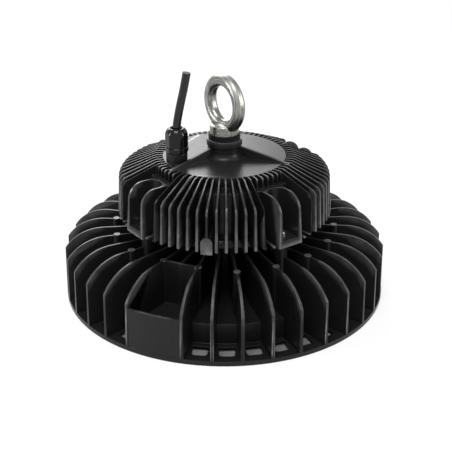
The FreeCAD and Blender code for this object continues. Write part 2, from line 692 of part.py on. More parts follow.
def cable_gland():
    hex_bottom = "(Gland_boss_top + Gland_ring_thickness)"
    hex_top = f"({hex_bottom} + Gland_hex_height)"
    ring = disc_with_hole("gland_o_ring", "Gland_thread_radius", "Gland_boss_radius",
                          "Gland_boss_top", hex_bottom)
    at_gland(ring)

    body = at_gland(new_body("gland_body"))
    face = new_sketch(body, "gland_hex_face", "XY_Plane", lift=hex_bottom)
    hexagon(face, "Gland_across_flats")
    raised(body, "gland_hex", face, "Gland_hex_height")
    corner = "(Gland_across_flats / 2 / cos(30) - 0.9)"
    spun(body, "Groove", "gland_hex_round", [
        (f"{corner} - 0.8", f"{hex_bottom} - 1"), (f"{corner} + 4", f"{hex_bottom} - 1"),
        (f"{corner} + 4", f"{hex_top} + 1"), (f"{corner} - 0.8", f"{hex_top} + 1"),
        (f"{corner} - 0.8", hex_top), (corner, f"{hex_top} - 0.8"),
        (corner, f"{hex_bottom} + 0.8"), (f"{corner} - 0.8", hex_bottom)])
    outer = "(Gland_thread_radius - 0.3)"
    spun(body, "Revolution", "gland_threads", [
        ("Gland_bore_radius", f"Gland_boss_top - Gland_thread_length"),
        ("Gland_thread_radius", f"Gland_boss_top - Gland_thread_length"),
        ("Gland_thread_radius", hex_bottom), (outer, hex_top), (outer, "Gland_body_top"),
        ("Gland_bore_radius", "Gland_body_top")])
    spun(body, "Groove", "gland_bore", [
        ("0", "Gland_boss_top - Gland_thread_length - 1"),
        ("Gland_bore_radius", "Gland_boss_top - Gland_thread_length - 1"),
        ("Gland_bore_radius", "Gland_body_top + 1"), ("0", "Gland_body_top + 1")])

    at_gland(disc_with_hole("gland_seal", "Cord_radius", "Gland_bore_radius", hex_bottom,
                            "Gland_body_top"))

    nut = at_gland(new_body("gland_dome_nut"))
    nut_bottom = f"({hex_top} + Dome_nut_gap)"
    face = new_sketch(nut, "dome_nut_face", "XY_Plane", lift=nut_bottom)
    hexagon(face, "Dome_nut_flats")
    raised(nut, "dome_nut_hex", face, f"Dome_top - {nut_bottom}")
    corner = "(Dome_nut_flats / 2 / cos(30))"
    spun(nut, "Groove", "dome_nut_round", [
        (f"{corner} - 0.7", f"{nut_bottom} - 1"), (f"{corner} + 2", f"{nut_bottom} - 1"),
        (f"{corner} + 2", "Dome_top + 1"), ("Dome_mouth_radius + 0.8", "Dome_top + 1"),
        ("Dome_mouth_radius + 0.8", "Dome_top", "-7"), (f"{corner} - 0.7", "Dome_shoulder - 1.5")])
    spun(nut, "Groove", "dome_nut_bore", [
        ("0", f"{nut_bottom} - 1"), (outer, f"{nut_bottom} - 1"), (outer, "Gland_body_top"),
        ("Dome_mouth_radius", "Dome_shoulder + 1"), ("Dome_mouth_radius", "Dome_top + 1"),
        ("0", "Dome_top + 1")])

    # Six gripping claws close round the cord in the nut's mouth.
    claws = at_gland(new_body("gland_claws"))
    spun(claws, "Revolution", "claw_ring", [
        ("Cord_radius + 0.3", "Gland_body_top"), ("Gland_bore_radius", "Gland_body_top"),
        ("Dome_mouth_radius - 0.3", "Dome_shoulder + 1"),
        ("Dome_mouth_radius - 0.5", "Dome_top - 1"), ("Cord_radius + 0.8", "Dome_top"),
        ("Cord_radius + 0.3", "Dome_top - 0.5")])
    cut = new_sketch(claws, "claw_slot_outline", "XY_Plane", lift="Dome_top + 1")
    rectangle(cut, "Cord_radius - 1", "Dome_mouth_radius + 1", "-0.4", "0.4")
    ringed(claws, "claw_slots",
           sunk(claws, "claw_slot", cut, "Dome_top + 1 - Gland_body_top - 1"), "6")


# Points of the cord's centre line from inside the gland's mouth, as steps right, back and up.
CORD_ROUTE = [(0, 0, 0), (0, 0, 6.5), (1.6, 0.2, 16.5), (4.2, 0.6, 29), (7.2, 1.1, 42),
              (9.2, 1.3, 53.5)]


def rounded_path(points, name):
    """Straight runs joined by tangent arcs, each as large as its two runs allow."""
    edges = []
    start = points[0]
    length = 0.0
    radii = []
    for before, corner, after in zip(points, points[1:], points[2:]):
        inward, outward = corner - before, after - corner
        turn = inward.getAngle(outward)
        reach = 0.45 * min(inward.Length, outward.Length)
        radius = reach / math.tan(turn / 2)
        radii.append(radius)
        first = corner - inward.normalize() * reach
        last = corner + outward.normalize() * reach
        bisector = (first - corner + last - corner).normalize()
        middle = corner + bisector * (radius / math.cos(turn / 2) - radius)
        edges.append(Part.LineSegment(start, first).toShape())
        edges.append(Part.Arc(first, middle, last).toShape())
        start = last
    edges.append(Part.LineSegment(start, points[-1]).toShape())
    wire = Part.Wire(edges)
    print(name, "arc radii", [round(radius, 1) for radius in radii], "length",
          round(wire.Length, 2))
    return wire


def tube(label, points, radius, place_at):
    """A cord: a round section swept along its route."""
    wire = rounded_path(points, label)
    section = Part.Wire(Part.makeCircle(radius, points[0], points[1] - points[0]))
    shape = wire.makePipeShell([section], True, True)
    print(label, "volume over section times length",
          round(shape.Volume / (math.pi * radius ** 2 * wire.Length), 5))
    item = doc.addObject("Part::Feature", label)
    item.Label = label
    item.Shape = shape
    item.Placement = Placement(place_at, Rotation())
    parts.append(item)
    return item


def cords():
    """The supply cord from the gland's mouth, and the rest of it down to the terminals."""
    mouth = Vector(value("Gland_offset * cos(Gland_angle - 54)"),
                   value("Gland_offset * sin(Gland_angle - 54)"), value("Gland_body_top"))
    route = [Vector(*step) for step in CORD_ROUTE]
    tube("power_cord", route, value("Cord_radius"), mouth)
    terminals = value("Housing_bottom + Standoff_height + Board_thickness + Terminal_height")
    drop = terminals + 1.3 - mouth.z
    tail = [Vector(), Vector(0, 0, drop * 0.55), Vector(1.2, 2.2, drop * 0.78),
            Vector(3.2, 5.8, drop)]
    tube("supply_lead", tail, value("Cord_radius"), mouth)


# ---------------------------------------------------------------- driver electronics
def on_board(label, x, y):
    """An empty body whose own centre line stands at a place on the driver board."""
    body = new_body(label)
    body.Placement = Placement(
        Vector(value(x), value(y), value("Housing_bottom + Standoff_height + Board_thickness")),
        Rotation())
    bind(body, Placement__Base__x=x, Placement__Base__y=y,
         Placement__Base__z="Housing_bottom + Standoff_height + Board_thickness")
    return body


def driver_electronics():
    board = new_body("driver_board", EAR_TURN)
    face = new_sketch(board, "board_face", "XY_Plane", lift="Housing_bottom + Standoff_height")
    circle(face, "0", "0", "Board_radius")
    circle(face, "0", "0", "Grommet_hole_radius")
    for x, y in (("1", "0"), ("0", "1"), ("-1", "0"), ("0", "-1")):
        circle(face, f"Standoff_circle * {x}", f"Standoff_circle * {y}",
               "Tiny_screw_radius + Hole_clearance")
    raised(board, "board_form", face, "Board_thickness")

    block = on_board("driver_transformer", "4", "26")
    core = new_sketch(block, "core_face", "XY_Plane")
    rectangle(core, "-Transformer_length / 2", "Transformer_length / 2",
              "-Transformer_width / 2", "Transformer_width / 2")
    raised(block, "core", core, "Transformer_height")

    choke = on_board("driver_choke", "28", "-12")
    ring_radius = "(Choke_outer_radius - Choke_section_radius)"
    section = new_sketch(choke, "choke_section")
    circle(section, ring_radius, "Choke_section_radius", "Choke_section_radius")
    feature(choke, "Revolution", "choke_form", section, ReferenceAxis=(section, ["V_Axis"]),
            Angle="360")

    cans = on_board("driver_capacitors", "-8", "-34")
    for index, x in enumerate(("0", "-Capacitor_radius * 2 - 2")):
        can = new_sketch(cans, f"can_circle_{index}", "XY_Plane")
        circle(can, x, "0", "Capacitor_radius")
        raised(cans, f"can_{index}", can, "Capacitor_height")

    block = on_board("driver_terminal_block", "-37", "-8")
    base = new_sketch(block, "terminal_face", "XY_Plane")
    rectangle(base, "-Terminal_length / 2", "Terminal_length / 2", "-Terminal_width / 2",
              "Terminal_width / 2")
    raised(block, "terminal", base, "Terminal_height")

    disc_with_hole("led_lead", "0.6", "Lead_radius", "Chamber_ceiling",
                   "Housing_bottom + Standoff_height")


# ---------------------------------------------------------------- light engine
def light_engine():
    pad_bottom = "(Chamber_ceiling - Pad_thickness)"
    board_bottom = f"({pad_bottom} - Led_board_thickness)"
    disc_with_hole("thermal_pad", "Lead_bore_radius", "Led_board_radius", pad_bottom,
                   "Chamber_ceiling")
    disc_with_hole("led_board", "Lead_bore_radius", "Led_board_radius", board_bottom, pad_bottom)
    leds = new_body("led_packages")
    half = "Led_width / 2"
    for ring in range(int(value("Led_ring_count"))):
        reach = f"(Led_first_circle + {ring} * Led_circle_step)"
        face = new_sketch(leds, f"led_face_{ring}", "XY_Plane", lift=board_bottom)
        rectangle(face, f"{reach} - {half}", f"{reach} + {half}", f"-{half}", half)
        led = raised(leds, f"led_{ring}", face, "Led_height", Reversed=True)
        ringed(leds, f"led_ring_{ring}", led, f"Led_first_count * ({ring} + 1)")

    ledge = "(Lens_ring_recess + Lens_ring_thickness)"
    lens_top = f"({ledge} + Lens_thickness)"
    turned("lens_cover", [("0", ledge), ("Lens_radius", ledge), ("Lens_radius", lens_top),
                          ("0", lens_top)])
    disc_with_hole("lens_seal", "Seal_ring_inner", "Seal_ring_outer", lens_top,
                   f"{lens_top} + Seal_ring_thickness")
    ring = new_body("lens_ring", POCKET_TURN)
    spun(ring, "Revolution", "lens_ring_form", [
        ("Lens_ring_inner + Lens_ring_thickness", "Lens_ring_recess"),
        ("Lens_ring_outer", "Lens_ring_recess"), ("Lens_ring_outer", ledge),
        ("Lens_ring_inner", ledge)])
    cone = outline(new_sketch(ring, "countersink_side"), countersink("Hole_clearance / 2"))
    axis = cone.addGeometry(Part.LineSegment(
        Vector(value("Lens_ring_screw_circle"), 0, 0),
        Vector(value("Lens_ring_screw_circle"), 1, 0)), True)
    place(cone, axis, 1, "Lens_ring_screw_circle", "0")
    place(cone, axis, 2, "Lens_ring_screw_circle", "1")
    sink = feature(ring, "Groove", "countersink", cone, ReferenceAxis=(cone, ["Axis0"]),
                   Angle="360")
    ringed(ring, "countersinks", sink, "Lens_ring_screw_count")


def countersink(gap):
    """Half of a countersunk screw in the lens ring, grown by a gap."""
    centre = "Lens_ring_screw_circle"
    bottom = "Lens_ring_recess"
    head_top = f"({bottom} + Tiny_screw_head_height)"
    head = f"({centre} + Tiny_screw_head_radius + {gap})"
    shank = f"({centre} + Tiny_screw_radius + {gap})"
    ledge = "(Lens_ring_recess + Lens_ring_thickness)"
    return [(centre, bottom), (head, bottom), (shank, head_top), (shank, ledge), (centre, ledge)]


# ---------------------------------------------------------------- fasteners
def screw_group(label, circle_radius, first_angle, count, turn, corners):
    """Equal screws on a circle. Corners are (radius, height) about the screw's own axis."""
    body = new_body(label, turn)
    sketch = new_sketch(body, label + "_profile", turn=first_angle)
    outline(sketch, [(f"{circle_radius} + {radius}", height) for radius, height in corners])
    axis = sketch.addGeometry(Part.LineSegment(
        Vector(value(circle_radius), 0, 0), Vector(value(circle_radius), 1, 0)), True)
    place(sketch, axis, 1, circle_radius, "0")
    place(sketch, axis, 2, circle_radius, "1")
    screw = feature(body, "Revolution", label + "_one", sketch,
                    ReferenceAxis=(sketch, ["Axis0"]), Angle="360")
    ringed(body, label + "_all", screw, count)
    return body


def fasteners():
    seat = "Ear_foot_top"
    recess = "Ear_screw_head_height * 0.6"
    screw_group("ear_screws", "Ear_screw_circle", "0", "4", EAR_TURN, [
        ("0", "Housing_bottom - Ear_thread_depth + 2"),
        ("Ear_thread_radius", "Housing_bottom - Ear_thread_depth + 2"),
        ("Ear_thread_radius", seat), ("Ear_screw_head_radius", seat),
        ("Ear_screw_head_radius", f"{seat} + Ear_screw_head_height - 0.8"),
        ("Ear_screw_head_radius - 1", f"{seat} + Ear_screw_head_height"),
        ("Ear_thread_radius * 0.8", f"{seat} + Ear_screw_head_height"),
        ("Ear_thread_radius * 0.8", f"{seat} + Ear_screw_head_height - {recess}"),
        ("0", f"{seat} + Ear_screw_head_height - {recess}")])
    screw_group("base_plate_screws", "Pad_screw_circle", "45", "4", EAR_TURN, [
        ("0", "Plate_bottom - Small_screw_head_height"),
        ("Small_screw_head_radius", "Plate_bottom - Small_screw_head_height"),
        ("Small_screw_head_radius", "Plate_bottom"), ("Small_screw_radius", "Plate_bottom"),
        ("Small_screw_radius", "Housing_bottom + Small_screw_length - 1"),
        ("0", "Housing_bottom + Small_screw_length - 1")])
    board_top = "(Housing_bottom + Standoff_height + Board_thickness)"
    screw_group("driver_board_screws", "Standoff_circle", "0", "4", EAR_TURN, [
        ("0", "Housing_bottom + 1"), ("Tiny_screw_radius", "Housing_bottom + 1"),
        ("Tiny_screw_radius", board_top), ("Tiny_screw_head_radius", board_top),
        ("Tiny_screw_head_radius", f"{board_top} + Tiny_screw_head_height"),
        ("0", f"{board_top} + Tiny_screw_head_height")])
    bottom = "Lens_ring_recess"
    ledge = "(Lens_ring_recess + Lens_ring_thickness)"
    screw_group("lens_ring_screws", "Lens_ring_screw_circle", "0", "Lens_ring_screw_count",
                POCKET_TURN, [
        ("0", bottom), ("Tiny_screw_head_radius", bottom),
        ("Tiny_screw_radius", f"{bottom} + Tiny_screw_head_height"),
        ("Tiny_screw_radius", f"{ledge} + Tiny_screw_length - 1"),
        ("0", f"{ledge} + Tiny_screw_length - 1")])


# ---------------------------------------------------------------- build, check and write
heat_sink()
driver_housing()
driver_base_plate()
seals_of_housing()
eye_bolt()
eye_bolt_fixings()
cable_gland()
cords()
driver_electronics()
light_engine()
fasteners()
doc.recompute()

for item in doc.Objects:
    if "Invalid" in item.State or "Error" in item.State:
        raise RuntimeError(f"{item.Label} is {item.State}")
for item in parts:
    if item.Shape.isNull() or not item.Shape.isValid() or not item.Shape.Solids:
        raise RuntimeError(f"{item.Label} has no valid shape")

os.makedirs("parts", exist_ok=True)
for item in parts:
    item.Shape.exportStep(os.path.join("parts", item.Label + ".step"))
    print(item.Label, len(item.Shape.Solids), "solids,", round(item.Shape.Volume / 1000, 2), "cm3")
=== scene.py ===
# %% [markdown]
# # A high bay light
# A high bay light hangs from the roof of a hall and throws its light straight down. Most of what
# is seen of it is two black aluminium castings: a wide heat sink with 36 radial fins, and above it
# a driver housing with a thin rib every five degrees. The housing carries a forged lifting eye and
# a cable gland.
#
# The solid model already has every fin, rib and screw at its true size, so this scene adds what
# makes them look real: rounded edges, a fine powder coat, dull zinc, glossy nylon, a smooth cord
# and quiet studio light. Blender counts in metres, so a size in millimetres is multiplied by MM.

import json
import math

import bmesh
import bpy
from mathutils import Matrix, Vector
from mathutils.bvhtree import BVHTree


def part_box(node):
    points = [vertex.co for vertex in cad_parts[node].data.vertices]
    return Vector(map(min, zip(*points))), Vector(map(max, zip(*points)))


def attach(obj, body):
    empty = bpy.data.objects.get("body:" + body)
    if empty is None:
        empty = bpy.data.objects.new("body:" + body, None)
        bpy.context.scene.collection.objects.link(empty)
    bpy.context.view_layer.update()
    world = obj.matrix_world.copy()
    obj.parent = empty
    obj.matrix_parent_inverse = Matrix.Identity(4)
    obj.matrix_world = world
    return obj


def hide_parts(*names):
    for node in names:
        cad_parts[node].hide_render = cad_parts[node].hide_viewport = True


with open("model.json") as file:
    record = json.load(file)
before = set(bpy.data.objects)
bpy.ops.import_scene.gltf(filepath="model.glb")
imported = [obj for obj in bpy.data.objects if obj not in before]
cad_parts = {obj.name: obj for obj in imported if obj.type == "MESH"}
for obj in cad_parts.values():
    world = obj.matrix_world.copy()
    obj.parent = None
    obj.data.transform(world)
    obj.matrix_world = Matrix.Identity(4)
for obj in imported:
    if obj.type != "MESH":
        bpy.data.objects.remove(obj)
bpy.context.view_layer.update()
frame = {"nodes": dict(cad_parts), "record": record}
scene = bpy.context.scene
MM = 0.001

# %% [markdown]
# ## Camera
# The light is seen from about 25 degrees above, one metre away. A camera can be aimed by a
# constraint that follows an object, but a place and a downward angle are two plain facts that
# anyone can read and change. The lens is given as its focal length over the width of the frame,
# and a very small shift keeps the light's centre line a little left of the middle.

# %% Place the camera
CAMERA_PITCH = 25.38
CAMERA_SPOT = Vector((0.0, -880.94, 474.13)) * MM
SENSOR_WIDTH = 36
FRAME_WIDTH = 452
LENS_OVER_WIDTH = 1108.09 / FRAME_WIDTH
CENTRE_LINE = 224.38               # counted across the frame from its left side
NEAREST_SEEN = 50 * MM

lens = bpy.data.cameras.new("camera")
lens.sensor_width = SENSOR_WIDTH
lens.lens = SENSOR_WIDTH * LENS_OVER_WIDTH
lens.shift_x = (FRAME_WIDTH / 2 - CENTRE_LINE) / FRAME_WIDTH
lens.clip_start = NEAREST_SEEN
camera = bpy.data.objects.new("camera", lens)
camera.location = CAMERA_SPOT
camera.rotation_euler = (math.radians(90 - CAMERA_PITCH), 0, 0)
scene.collection.objects.link(camera)
scene.camera = camera
print("focal length", round(lens.lens, 2), "mm")

# %% [markdown]
# ## Supply cord
# A round cord, 7 mm thick, rises out of the gland, leans to the right and ends in a clean cut. It
# could be a chain of short tubes, but each joint would break the long highlight that tells the
# eye it is smooth. So it is one open spline through six control points, and the curve's own round
# bevel is its sheath. To lay it another way, only the points have to change.

# %% Where the cord stands and how it runs
GLAND_REACH = 42.5                 # from the light's centre line
GLAND_TURN = math.radians(-160)
GLAND_SPOT = Vector((GLAND_REACH * math.cos(GLAND_TURN), GLAND_REACH * math.sin(GLAND_TURN), 0))
CORD_START = 147.0                 # its lower end is hidden in the gland's nut
CORD_THICKNESS = 7.0
CORD_ROUTE = [(0, 0, 0), (0, 0, 6.5), (1.6, 0.2, 16.5), (4.2, 0.6, 29), (7.2, 1.1, 42),
              (9.2, 1.3, 53.5)]
print("the cord rises from", CORD_START, "to", CORD_START + CORD_ROUTE[-1][2], "mm")

# %% Draw the cord
POINT_RADIUS = 0.0005  # Blender adds it to the curve's box, so it is small and the bevel is large


def cord_along(name, steps, start, thickness):
    """A round cord on one open NURBS spline. Steps and start are in millimetres."""
    curve = bpy.data.curves.new(name, "CURVE")
    curve.dimensions = "3D"
    curve.bevel_depth = thickness / 2 * MM / POINT_RADIUS
    curve.bevel_resolution = 6
    curve.resolution_u = 16
    curve.use_fill_caps = True
    spline = curve.splines.new("NURBS")
    spline.points.add(len(steps) - 1)
    for point, step in zip(spline.points, steps):
        point.co = (*((start + Vector(step)) * MM), 1)
        point.radius = POINT_RADIUS
    spline.order_u = 3
    spline.use_endpoint_u = True
    cord = bpy.data.objects.new(name, curve)
    scene.collection.objects.link(cord)
    print(name, "has", len(steps), "control points")
    return cord


cord = cord_along("supply_cord", CORD_ROUTE, GLAND_SPOT + Vector((0, 0, CORD_START)),
                  CORD_THICKNESS)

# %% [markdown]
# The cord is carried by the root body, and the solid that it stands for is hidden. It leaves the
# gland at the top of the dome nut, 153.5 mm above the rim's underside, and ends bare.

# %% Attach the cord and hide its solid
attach(cord, "root")
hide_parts("power_cord")
print(cord.name, "stands for power_cord")

# %% [markdown]
# ## Surface effects
# Coats, platings and plastics have a few things in common: a fine grain, slow changes in tone and
# gloss, and lines left by tools. Besides these, a pale colour on the edges is a painted highlight
# for the line of light that a crest catches. Each could be an image, but an image gets coarse
# close up, and the surface has to be unfolded for it first. Computed noise has neither trouble.
# So each effect is a node group with named inputs, built once and placed in the finishes with its
# own numbers. Every group puts out one value that changes over the surface.


# %% A helper that starts a node group
def effect_group(name, inputs, output):
    """An empty shader node group with one output. Inputs are {name: default number}."""
    group = bpy.data.node_groups.new(name, "ShaderNodeTree")
    for label, default in inputs.items():
        socket = group.interface.new_socket(label, in_out="INPUT", socket_type="NodeSocketFloat")
        socket.default_value = default
    group.interface.new_socket(output, in_out="OUTPUT", socket_type="NodeSocketFloat")
    start = group.nodes.new("NodeGroupInput")
    end = group.nodes.new("NodeGroupOutput")
    return group, start, end


# %% Helpers for sums, places and noise
def maths(tree, operation, first, second=0.0):
    """A Math node on two links or numbers; returns its output."""
    node = tree.nodes.new("ShaderNodeMath")
    node.operation = operation
    for socket, given in zip(node.inputs, (first, second)):
        if isinstance(given, (int, float)):
            socket.default_value = given
        else:
            tree.links.new(given, socket)
    return node.outputs[0]


def place_in(tree):
    """The place on the object, in metres, so that an effect stays fixed to its piece."""
    return tree.nodes.new("ShaderNodeTexCoord").outputs["Object"]


def noise(tree, scale, detail=3.0, rough=0.5):
    """Noise between 0 and 1, with about scale lumps to the metre; returns its output."""
    node = tree.nodes.new("ShaderNodeTexNoise")
    node.inputs["Scale"].default_value = scale
    node.inputs["Detail"].default_value = detail
    node.inputs["Roughness"].default_value = rough
    tree.links.new(place_in(tree), node.inputs["Vector"])
    return node.outputs["Fac"]


# %% [markdown]
# **Grain.** Sprayed powder melts into a skin with a fine orange-peel grain, and plated and moulded
# skins have one of their own. As geometry it would take millions of faces, so it is a height for
# the shading alone: lumps about a millimetre wide, with finer ones on top.

# %% Grain of a sprayed, plated or moulded skin
COARSE_GRAIN = 900                 # lumps to the metre
FINE_GRAIN = 2600

grain_group, start, end = effect_group("fine_grain", {"Coarse": 1.0, "Fine": 1.0}, "Height")
coarse = maths(grain_group, "MULTIPLY", noise(grain_group, COARSE_GRAIN, detail=2.0),
               start.outputs["Coarse"])
fine = maths(grain_group, "MULTIPLY", noise(grain_group, FINE_GRAIN, rough=0.6),
             start.outputs["Fine"])
grain_group.links.new(maths(grain_group, "ADD", coarse, fine), end.inputs["Height"])
print("grain:", len(grain_group.nodes), "nodes")

# %% [markdown]
# ** Painted highlight on the edges.** The crest of a fin catches a thin line of light. Here a pale colour painted along the edges stands in for it, so the crest is paler than its sides. The mask could be painted by hand, but Pointiness already tells how far a place sticks out from its surroundings. Here it is cut off between two values and broken up with noise. It fades out towards the rim, because the rim is flat and its few long triangles give Pointiness nothing to measure.


# %% A helper for values that rise between two limits
def ramp(tree, value, start, end, low=0.0, high=1.0):
    """Runs from low to high while value goes from start to end, and stays level beyond."""
    node = tree.nodes.new("ShaderNodeMapRange")
    for label, number in (("From Min", start), ("From Max", end), ("To Min", low),
                          ("To Max", high)):
        node.inputs[label].default_value = number
    tree.links.new(value, node.inputs["Value"])
    return node.outputs["Result"]


# %% Painted highlight on sharp edges
EDGE_PATCHES = 120                 # lumps to the metre
NO_HIGHLIGHT_HEIGHT = 4 * MM          # the rim itself, where no highlight is painted
FULL_HIGHLIGHT_HEIGHT = 10 * MM

painted_highlight_group, start, end = effect_group(
    "painted_edge_highlight_mask", {"Amount": 1.0, "Start": 0.536, "Softness": 0.09}, "Mask")
shape = painted_highlight_group.nodes.new("ShaderNodeNewGeometry")
above = maths(painted_highlight_group, "SUBTRACT", shape.outputs["Pointiness"], start.outputs["Start"])
capped = painted_highlight_group.nodes.new("ShaderNodeClamp")
painted_highlight_group.links.new(maths(painted_highlight_group, "DIVIDE", above, start.outputs["Softness"]),
                     capped.inputs["Value"])
patchy = maths(painted_highlight_group, "MULTIPLY", capped.outputs["Result"],
               noise(painted_highlight_group, EDGE_PATCHES))
split = painted_highlight_group.nodes.new("ShaderNodeSeparateXYZ")
painted_highlight_group.links.new(place_in(painted_highlight_group), split.inputs["Vector"])
above_rim = ramp(painted_highlight_group, split.outputs["Z"], NO_HIGHLIGHT_HEIGHT, FULL_HIGHLIGHT_HEIGHT)
patchy = maths(painted_highlight_group, "MULTIPLY", patchy, above_rim)
painted_highlight_group.links.new(maths(painted_highlight_group, "MULTIPLY", patchy, start.outputs["Amount"]),
                     end.inputs["Mask"])
print("edge mask:", len(painted_highlight_group.nodes), "nodes")

# %% [markdown]
# **Clouds.** No real finish is the same all over: it is a little duller here and a little darker
# there. A slow noise round a middle value gives that to gloss and tone alike.

# %% Slow changes in gloss and tone
CLOUDS = 28                        # lumps to the metre

cloud_group, start, end = effect_group("cloudy", {"Middle": 0.5, "Spread": 0.1}, "Value")
clouds = noise(cloud_group, CLOUDS, detail=4.0, rough=0.55)
centred = maths(cloud_group, "SUBTRACT", clouds, 0.5)
spread = maths(cloud_group, "MULTIPLY", centred, start.outputs["Spread"])
cloud_group.links.new(maths(cloud_group, "ADD", spread, start.outputs["Middle"]),
                      end.inputs["Value"])
print("cloudy:", len(cloud_group.nodes), "nodes")

# %% [markdown]
# **Streaks.** A lifting eye is forged and brushed before it is plated, and fine lines run round
# its ring. Plain noise has no direction. So the group first works out where a point lies on the
# ring: how far out from its centre, how far through its thickness, and how far round. Noise that
# changes fast across the ring and slowly round it is a bundle of streaks.

# %% Where a point lies on the ring
RING_HEIGHT = 170 * MM             # of the ring's centre above the rim's underside
STREAK_FINENESS = 900              # lumps to the metre, across the streaks

streak_group, start, end = effect_group(
    "ring_streaks", {"Height_of_ring": RING_HEIGHT, "Turn": 0.0, "Fineness": STREAK_FINENESS},
    "Value")
split = streak_group.nodes.new("ShaderNodeSeparateXYZ")
streak_group.links.new(place_in(streak_group), split.inputs["Vector"])
turn_cos = maths(streak_group, "COSINE", start.outputs["Turn"])
turn_sin = maths(streak_group, "SINE", start.outputs["Turn"])
across = maths(streak_group, "ADD",
               maths(streak_group, "MULTIPLY", split.outputs["X"], turn_cos),
               maths(streak_group, "MULTIPLY", split.outputs["Y"], turn_sin))
through = maths(streak_group, "SUBTRACT",
                maths(streak_group, "MULTIPLY", split.outputs["Y"], turn_cos),
                maths(streak_group, "MULTIPLY", split.outputs["X"], turn_sin))
rise = maths(streak_group, "SUBTRACT", split.outputs["Z"], start.outputs["Height_of_ring"])
out = maths(streak_group, "SQRT",
            maths(streak_group, "ADD", maths(streak_group, "MULTIPLY", across, across),
                  maths(streak_group, "MULTIPLY", rise, rise)))
round_it = maths(streak_group, "ARCTAN2", rise, across)
print("place on the ring:", len(streak_group.nodes), "nodes")

# %% Streaks drawn round the ring
STREAK_BREAKS = 2.5                # lumps to the radian, so a streak is long but not endless

lines = streak_group.nodes.new("ShaderNodeCombineXYZ")
for axis, length, fineness in (("X", out, start.outputs["Fineness"]),
                               ("Y", through, start.outputs["Fineness"]),
                               ("Z", round_it, STREAK_BREAKS)):
    streak_group.links.new(maths(streak_group, "MULTIPLY", length, fineness), lines.inputs[axis])
drawn = streak_group.nodes.new("ShaderNodeTexNoise")
drawn.inputs["Scale"].default_value = 1.0
drawn.inputs["Detail"].default_value = 4.0
streak_group.links.new(lines.outputs["Vector"], drawn.inputs["Vector"])
streak_group.links.new(drawn.outputs["Fac"], end.inputs["Value"])
print("ring streaks:", len(streak_group.nodes), "nodes")

# %% [markdown]
# ## Finishes
# Every finish is a Principled shader. The clouds drive its roughness and its tone, the edge mask
# lays a pale colour over the edges as a painted highlight, and the grain gives the relief. Numbers
# that are the same all over, such as how metallic it is, are set straight on the shader.


# %% Helpers that place a group and mix two colours
def placed(tree, group, numbers):
    """Places a group in a material with its own numbers; returns its output."""
    node = tree.nodes.new("ShaderNodeGroup")
    node.node_tree = group
    for label, number in numbers.items():
        node.inputs[label].default_value = number
    return node.outputs[0]


def mixed(tree, factor, first, second, blend="MIX"):
    """Mixes two colours by a mask. The first is a colour or a link, the second a colour."""
    node = tree.nodes.new("ShaderNodeMix")
    node.data_type = "RGBA"
    node.blend_type = blend
    tree.links.new(factor, node.inputs["Factor"])
    if isinstance(first, bpy.types.NodeSocket):
        tree.links.new(first, node.inputs["A"])
    else:
        node.inputs["A"].default_value = (*first, 1)
    node.inputs["B"].default_value = (*second, 1)
    return node.outputs["Result"]


# %% A helper that makes a finish
# Pale colour painted on the edges: a painted highlight for the light the crests catch.
PAINTED_EDGE_HIGHLIGHT_COLOUR = (0.70, 0.70, 0.70)
TONE_CONTRAST = 1.4                # how far the clouds reach between the two tones
GRAIN_HEIGHT = 0.1 * MM            # of a full grain


def finish_of(name, colour, roughness, grain, bump, spread=0.06, metal=0.0, painted_edge_highlight=0.0,
              specular=0.5, tone=0.15):
    """A Principled material whose gloss and tone drift a little over the surface.

    Grain is its coarse and its fine share, and bump its depth. Spread is the drift in roughness,
    tone the drift in colour, and the edge highlight argument how much pale colour is painted on
    the edges, as a highlight for the light the crests catch.
    """
    material = bpy.data.materials.new(name)
    material.use_nodes = True
    tree = material.node_tree
    shader = tree.nodes["Principled BSDF"]
    shader.inputs["Metallic"].default_value = metal
    shader.inputs["Specular IOR Level"].default_value = specular

    gloss = placed(tree, cloud_group, {"Middle": roughness, "Spread": spread})
    tree.links.new(gloss, shader.inputs["Roughness"])

    shade = placed(tree, cloud_group, {"Middle": 0.5, "Spread": TONE_CONTRAST})
    surface = mixed(tree, shade, [channel * (1 - tone) for channel in colour],
                    [channel * (1 + tone) for channel in colour])
    # Painted highlight: the pale colour is laid over the edges.
    if painted_edge_highlight:
        surface = mixed(tree, placed(tree, painted_highlight_group, {"Amount": painted_edge_highlight}), surface, PAINTED_EDGE_HIGHLIGHT_COLOUR)
    tree.links.new(surface, shader.inputs["Base Color"])

    relief = tree.nodes.new("ShaderNodeBump")
    relief.inputs["Strength"].default_value = bump
    relief.inputs["Distance"].default_value = GRAIN_HEIGHT
    height = placed(tree, grain_group, {"Coarse": grain[0], "Fine": grain[1]})
    tree.links.new(height, relief.inputs["Height"])
    tree.links.new(relief.outputs["Normal"], shader.inputs["Normal"])
    return material


# %% [markdown]
# **Black powder coat.** Both castings, the base plate and the lens ring are sprayed in one black.
# Black things show almost nothing but what they mirror, so it is the roughness and the strength of
# the mirroring that matter here, and the colour hardly does. The castings get a pale colour
# painted on their edges as a highlight. The ring and the base plate are flat, so they get a coat
# with no painted edge highlight.


# %% Black powder coat
def black_coat(name, shine, painted_edge_highlight=1.0):
    """Sprayed black coat. Shine is how strongly it mirrors; the edge highlight argument is how
    much pale colour is painted on its edges as a highlight.
    """
    return finish_of(name, (0.011, 0.011, 0.0115), 0.29, grain=(0.6, 1.0), bump=0.30,
                     spread=0.10, painted_edge_highlight=painted_edge_highlight, specular=shine)


powder_coat = black_coat("powder_coat_black", shine=0.185)
housing_coat = black_coat("powder_coat_housing", shine=0.18)
ring_coat = black_coat("powder_coat_ring", shine=0.21, painted_edge_highlight=0.0)
print("coats:", powder_coat.name, housing_coat.name, ring_coat.name)

